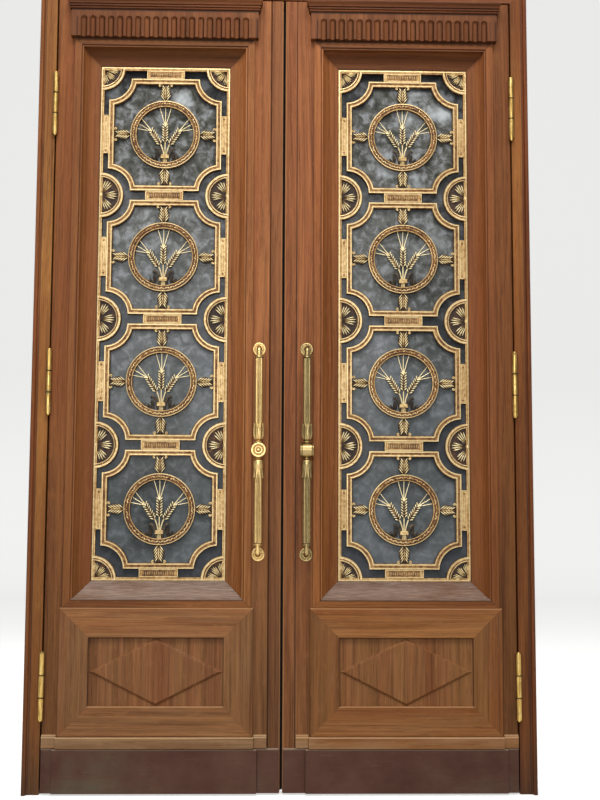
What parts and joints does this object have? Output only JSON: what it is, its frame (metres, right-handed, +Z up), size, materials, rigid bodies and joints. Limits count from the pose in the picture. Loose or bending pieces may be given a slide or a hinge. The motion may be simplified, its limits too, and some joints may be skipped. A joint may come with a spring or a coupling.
{
  "type": "pair of hinged entrance doors in a frame",
  "caption": "Pair of tall outward-opening oak entrance doors in a moulded frame, each with a glazed light behind a gilded openwork grille and a brass pull handle",
  "frame": {"origin": "middle of the left jamb's flat foot, at ground level", "axes": "+Z up, +X to the right seen from the street, -Y out to the street, towards which both leaves open"},
  "size_m": [1.689, 0.1885, 2.759],
  "materials": {
    "oak": "oiled reddish brown oak",
    "lower_oak": "sun-bleached yellowish oak",
    "weathered_oak": "grey weathered oak",
    "gilding": "gilded cast metal with brown patina in the hollows",
    "brass": "pale worn brass",
    "bronze": "dark brown patinated bronze sheet",
    "glass": "clear glass, dark behind"
  },
  "bodies": {
    "frame": {"left_jamb": "oak", "right_jamb": "oak", "frame_head": "oak", "left_frame_hinges": "brass", "right_frame_hinges": "brass"},
    "left_leaf": {"left_hinge_stile": "oak", "left_meeting_stile": "oak", "left_top_rail": "oak", "left_middle_rail": "oak", "left_bottom_rail": "oak", "left_cornice": "oak", "left_fluted_frieze": "oak", "left_light_surround": "oak", "left_weathered_sill": "weathered_oak", "left_glass": "glass", "left_glazing_beads": "oak", "left_grille": "gilding", "left_wheat_ears": "gilding", "left_lower_frame": "lower_oak", "left_lozenge_panel": "lower_oak", "left_base_band": "lower_oak", "left_kick_plates": "bronze", "left_pull_handle": "brass", "left_leaf_knuckles": "brass"},
    "right_leaf": {"right_hinge_stile": "oak", "right_meeting_stile": "oak", "right_top_rail": "oak", "right_middle_rail": "oak", "right_bottom_rail": "oak", "right_cornice": "oak", "right_fluted_frieze": "oak", "right_light_surround": "oak", "right_weathered_sill": "weathered_oak", "right_glass": "glass", "right_glazing_beads": "oak", "right_grille": "gilding", "right_wheat_ears": "gilding", "right_lower_frame": "lower_oak", "right_lozenge_panel": "lower_oak", "right_base_band": "lower_oak", "right_kick_plates": "bronze", "right_pull_handle": "brass", "right_leaf_knuckles": "brass"}
  },
  "joints": [
    {"name": "left_leaf_swing", "type": "hinge", "parent": "frame", "child": "left_leaf", "pos_m": [0.03, -0.066, 1.3555], "axis": [0, 0, -1], "range_deg": [0, 90]},
    {"name": "right_leaf_swing", "type": "hinge", "parent": "frame", "child": "right_leaf", "pos_m": [1.604, -0.066, 1.3555], "axis": [0, 0, 1], "range_deg": [0, 90]}
  ]
}
